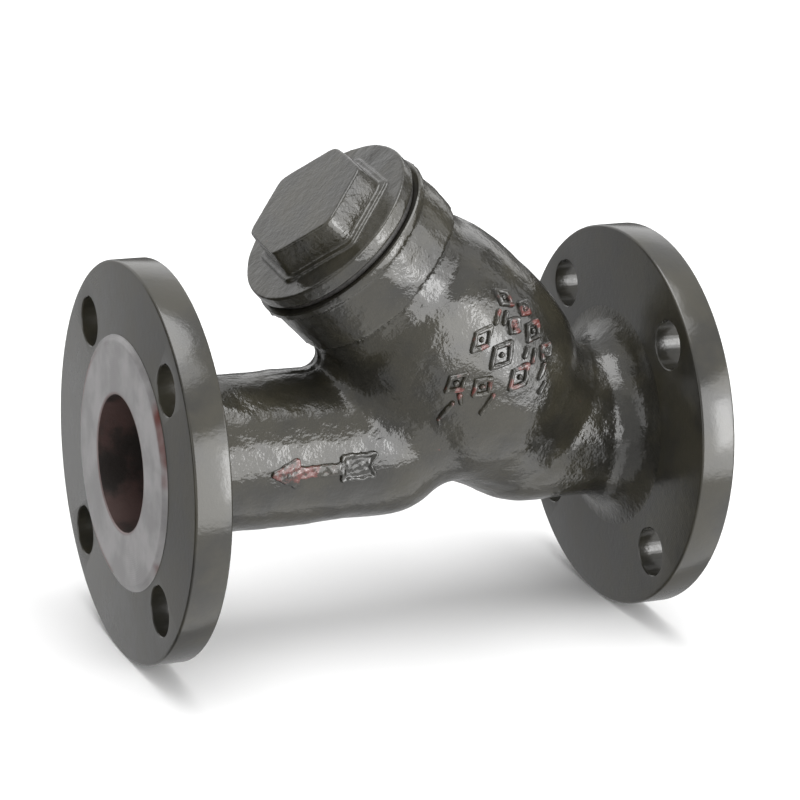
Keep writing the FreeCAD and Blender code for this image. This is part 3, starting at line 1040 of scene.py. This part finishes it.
def casting_paint_material(name, worn):
    """Thick glossy gunmetal paint over red primer, with orange peel and rubbed spots."""
    material, tree, shader = new_material(name)
    place = object_point(tree)
    cloud = noise(tree, place, 38.0, 4.0)
    peel = noise(tree, place, 330.0, 2.5, 0.6)
    fine = noise(tree, place, 900.0, 2.0, 0.5)
    chips = noise(tree, place, 150.0, 6.0, 0.7)
    sand = noise(tree, place, 1700.0, 2.0, 0.6)
    colour = mix_colour(tree, ramp(tree, cloud, 0.38, 0.62), PAINT_DARK, PAINT_LIGHT)
    bare = ramp(tree, chips, 0.69, 0.76)
    if worn:
        wear = add(tree, "ShaderNodeAttribute", attribute_name="wear").outputs["Fac"]
        rubbed = ramp(tree, chips, 0.44, 0.56)
        worn_top = math_node(tree, "MULTIPLY", wear, rubbed)
        bare = math_node(tree, "MAXIMUM", bare, worn_top)
    colour = mix_colour(tree, bare, colour, PRIMER)
    normal = bumps(tree, [(peel, 0.6, 0.0004), (fine, 0.6, 0.00016), (sand, 0.3, 0.00005)])
    connect(tree, shader, colour, ramp(tree, cloud, 0.3, 0.7, 0.34, 0.46), normal)
    glossy_coat(tree, shader, normal, 0.09)
    return material


def flange_paint_material():
    """Thinner paint over faces that were turned in a lathe: faint rings show through it."""
    material, tree, shader = new_material("flange_paint")
    place = object_point(tree)
    radius = distance_from_pipe_axis(tree, place)
    wander = noise(tree, place, 25.0, 2.0)
    turns = math_node(tree, "MULTIPLY", radius, 2 * math.pi / TURNING_PITCH)
    turns = math_node(tree, "ADD", turns, math_node(tree, "MULTIPLY", wander, 5.0))
    rings = math_node(tree, "SINE", turns)
    cloud = noise(tree, place, 45.0, 4.0)
    peel = noise(tree, place, 420.0, 2.5, 0.6)
    chips = noise(tree, place, 190.0, 5.0, 0.7)
    colour = mix_colour(tree, ramp(tree, cloud, 0.35, 0.65), PAINT_DARK, PAINT_LIGHT)
    colour = mix_colour(tree, ramp(tree, chips, 0.72, 0.78), colour, PRIMER)
    normal = bumps(tree, [(rings, 0.12, 0.00003), (peel, 0.35, 0.00018)])
    connect(tree, shader, colour, ramp(tree, cloud, 0.3, 0.7, 0.36, 0.5), normal)
    glossy_coat(tree, shader, normal, 0.16)
    return material


def raised_face_material():
    """Machined gasket face with a spiral finish, wiped with thin paint and stained red at its bevel."""
    material, tree, shader = new_material("raised_face")
    place = object_point(tree)
    radius = distance_from_pipe_axis(tree, place)
    turns = math_node(tree, "MULTIPLY", radius, 2 * math.pi / SPIRAL_PITCH)
    rings = math_node(tree, "SINE", turns)
    cloud = noise(tree, place, 60.0, 4.0)
    patches = noise(tree, place, 26.0, 3.0)
    grain = noise(tree, place, 900.0, 2.0)
    edge = ramp(tree, radius, 0.0440, 0.0468)
    stain = math_node(tree, "MULTIPLY", edge, ramp(tree, patches, 0.46, 0.60))
    inner = ramp(tree, radius, 0.0275, 0.0262)
    stain = math_node(tree, "MAXIMUM", stain, math_node(tree, "MULTIPLY", inner, 0.5))
    wiped = ramp(tree, cloud, 0.35, 0.65)
    grey = mix_colour(tree, wiped, (0.30, 0.292, 0.294), (0.45, 0.438, 0.442))
    colour = mix_colour(tree, stain, grey, (0.16, 0.05, 0.04))
    normal = bumps(tree, [(rings, 0.3, 0.00004), (grain, 0.3, 0.00003)])
    connect(tree, shader, colour, ramp(tree, cloud, 0.3, 0.7, 0.34, 0.48), normal)
    shader.inputs["Metallic"].default_value = 0.55
    shader.inputs["Coat Weight"].default_value = 0.35
    shader.inputs["Coat Roughness"].default_value = 0.2
    return material


def primer_material():
    """Red-brown primer and thin dark paint in the waterways, on the rough cast skin."""
    material, tree, shader = new_material("primer_inside")
    place = object_point(tree)
    cloud = noise(tree, place, 55.0, 5.0, 0.6)
    skin = noise(tree, place, 380.0, 4.0, 0.6)
    thin = ramp(tree, cloud, 0.42, 0.62)
    colour = mix_colour(tree, thin, (0.030, 0.025, 0.023), (0.080, 0.046, 0.041))
    normal = bumps(tree, [(skin, 0.6, 0.0004)])
    connect(tree, shader, colour, ramp(tree, cloud, 0.3, 0.7, 0.35, 0.6), normal)
    shader.inputs["Coat Weight"].default_value = 0.4
    shader.inputs["Coat Roughness"].default_value = 0.25
    return material


def steel_material(name, colour, rough, scratch_scale):
    """Rolled stainless sheet with fine drawn lines."""
    material, tree, shader = new_material(name)
    place = object_point(tree)
    stretch = tree.nodes.new("ShaderNodeMapping")
    stretch.inputs["Rotation"].default_value = (0, math.pi / 4, 0)
    stretch.inputs["Scale"].default_value = (1.0, 1.0, 0.06)
    tree.links.new(place, stretch.inputs["Vector"])
    lines = noise(tree, stretch.outputs["Vector"], scratch_scale, 3.0)
    cloud = noise(tree, place, 80.0, 3.0)
    dark = tuple(0.78 * c for c in colour)
    shade = mix_colour(tree, ramp(tree, cloud, 0.35, 0.65), dark, colour)
    shader.inputs["Metallic"].default_value = 1.0
    uneven = ramp(tree, lines, 0.3, 0.7, rough, rough + 0.15)
    connect(tree, shader, shade, uneven, bumps(tree, [(lines, 0.2, 0.00003)]))
    return material


def gasket_material():
    """Dark compressed fibre sheet."""
    material, tree, shader = new_material("gasket_fibre")
    place = object_point(tree)
    fibre = noise(tree, place, 700.0, 4.0, 0.65)
    cloud = noise(tree, place, 60.0, 3.0)
    mottle = ramp(tree, fibre, 0.35, 0.65)
    colour = mix_colour(tree, mottle, (0.022, 0.021, 0.020), (0.05, 0.047, 0.043))
    roughness = ramp(tree, cloud, 0.3, 0.7, 0.45, 0.7)
    connect(tree, shader, colour, roughness, bumps(tree, [(fibre, 0.5, 0.0001)]))
    return material


def use_material(piece, material):
    piece.data.materials.clear()
    piece.data.materials.append(material)


# ---------------------------------------------------------------- stage, light and camera
FLOOR_HALF = 6.0


def studio_floor():
    """A plain pale floor. The paint mirrors the studio below the horizon in its place."""
    z = cad_low.z
    mesh = bpy.data.meshes.new("studio_floor")
    corners = [(-1, -1), (1, -1), (1, 1), (-1, 1)]
    mesh.from_pydata([(x * FLOOR_HALF, y * FLOOR_HALF, z) for x, y in corners], [], [(0, 1, 2, 3)])
    floor = bpy.data.objects.new("studio_floor", mesh)
    bpy.context.scene.collection.objects.link(floor)
    material, _, shader = new_material("pale_floor")
    shader.inputs["Base Color"].default_value = (0.92, 0.92, 0.92, 1)
    shader.inputs["Roughness"].default_value = 0.9
    shader.inputs["Specular IOR Level"].default_value = 0.0
    floor.data.materials.append(material)
    floor.visible_glossy = False


def soft_window(tree, value, low, high, soft):
    """One between low and high, fading to nought over soft on both sides."""
    up = ramp(tree, value, low - soft, low + soft)
    down = ramp(tree, value, high - soft, high + soft)
    return math_node(tree, "SUBTRACT", up, down)


# Soft boxes, white walls and the pale ground outside. Azimuth from the front towards +X, then elevation, in
# degrees; then softness and strength
STUDIO_BOXES = [
    (-2, 58, -20, 30, 4, 4.0),
    (27, 44, -6, 20, 3, 9.5),
    (58, 80, 0, 26, 4, 2.4),
    (-200, 200, 68, 100, 3, 4.6),
    (-60, 56, 57, 70, 4, 2.8),
    (-200, 200, 34, 68, 5, 0.75),
    (84, 100, 14, 50, 5, 0.9),
    (118, 200, 6, 36, 5, 1.0),
    (-200, -142, 2, 36, 5, 0.85),
    (-200, -142, -60, 2, 5, 0.38),
    (-82, -58, -10, 36, 6, 1.3),
    (-58, -4, -24, 36, 6, 0.55),
    (-24, 90, -90, -22, 6, 1.15),
    (-80, -24, -90, -22, 6, 0.45),
    (90, 180, -90, -22, 6, 0.3),
]
ROOM_LEVEL = 0.10
BACKDROP_LEVEL = 0.97


def studio_world():
    """A white studio with large soft boxes and dark gaps between them, set by direction only."""
    world = bpy.data.worlds.new("studio")
    bpy.context.scene.world = world
    world.use_nodes = True
    tree = world.node_tree
    background = tree.nodes["Background"]
    split = tree.nodes.new("ShaderNodeSeparateXYZ")
    tree.links.new(add(tree, "ShaderNodeTexCoord").outputs["Generated"], split.inputs[0])
    x, y, z = split.outputs
    degrees = 180 / math.pi
    elevation = math_node(tree, "MULTIPLY", math_node(tree, "ARCSINE", z), degrees)
    front = math_node(tree, "MULTIPLY", y, -1.0)
    azimuth = math_node(tree, "MULTIPLY", math_node(tree, "ARCTAN2", x, front), degrees)
    level = None
    for azimuth_low, azimuth_high, low, high, soft, strength in STUDIO_BOXES:
        across = soft_window(tree, azimuth, azimuth_low, azimuth_high, soft)
        upright = soft_window(tree, elevation, low, high, soft)
        window = math_node(tree, "MULTIPLY", across, upright)
        glow = math_node(tree, "MULTIPLY", window, strength)
        level = glow if level is None else math_node(tree, "MAXIMUM", level, glow)
    level = math_node(tree, "ADD", level, ROOM_LEVEL)
    mixed = tree.nodes.new("ShaderNodeMix")
    tree.links.new(tree.nodes.new("ShaderNodeLightPath").outputs["Is Camera Ray"], mixed.inputs["Factor"])
    tree.links.new(level, mixed.inputs["A"])
    mixed.inputs["B"].default_value = BACKDROP_LEVEL
    tree.links.new(mixed.outputs["Result"], background.inputs["Strength"])
    background.inputs["Color"].default_value = (1, 1, 1, 1)


def camera():
    """The viewing angle: azimuth, elevation and roll in degrees, distance and target in metres."""
    azimuth, elevation, roll = (math.radians(v) for v in (-25.146, 18.713, 3.118))
    distance = 1.17638
    target = Vector((0.1140, 0.0, 0.014663))
    back = Vector((
        math.sin(azimuth) * math.cos(elevation),
        -math.cos(azimuth) * math.cos(elevation),
        math.sin(elevation),
    ))
    right = (-back).cross(Vector((0, 0, 1))).normalized()
    up = back.cross(right)
    turned_right = math.cos(roll) * right + math.sin(roll) * up
    turned_up = -math.sin(roll) * right + math.cos(roll) * up
    data = bpy.data.cameras.new("camera")
    data.lens = 136.8
    data.sensor_width = 36.0
    data.clip_start = 0.05
    data.clip_end = 50
    eye = bpy.data.objects.new("camera", data)
    rotation = Matrix((turned_right, turned_up, back)).transposed()
    eye.matrix_world = Matrix.Translation(target + back * distance) @ rotation.to_4x4()
    bpy.context.scene.collection.objects.link(eye)
    bpy.context.scene.camera = eye


camera()
studio_floor()
studio_world()
casting_paint = casting_paint_material("gunmetal_paint", worn=False)
worn_paint = casting_paint_material("gunmetal_paint_worn", worn=True)
flange_paint = flange_paint_material()
raised_face_metal = raised_face_material()
primer_inside = primer_material()
sheet_steel = steel_material("sheet_steel", (0.62, 0.62, 0.60), 0.24, 900.0)
wire_cloth = steel_material("wire_cloth", (0.55, 0.55, 0.53), 0.30, 700.0)
gasket_sheet = gasket_material()

body_casting()
use_material(flow_arrow(), worn_paint)
use_material(barrel_marks(), worn_paint)
use_material(screw_cap(), casting_paint)
compressed_gasket()
basket_rings()
wire_mesh_liner()
for cad_node in ("screen_tube", "screen_seam_strip", "screen_seam_rivets"):
    finish_cad_piece(cad_node, sheet_steel)
bpy.context.scene.view_settings.view_transform = "Standard"
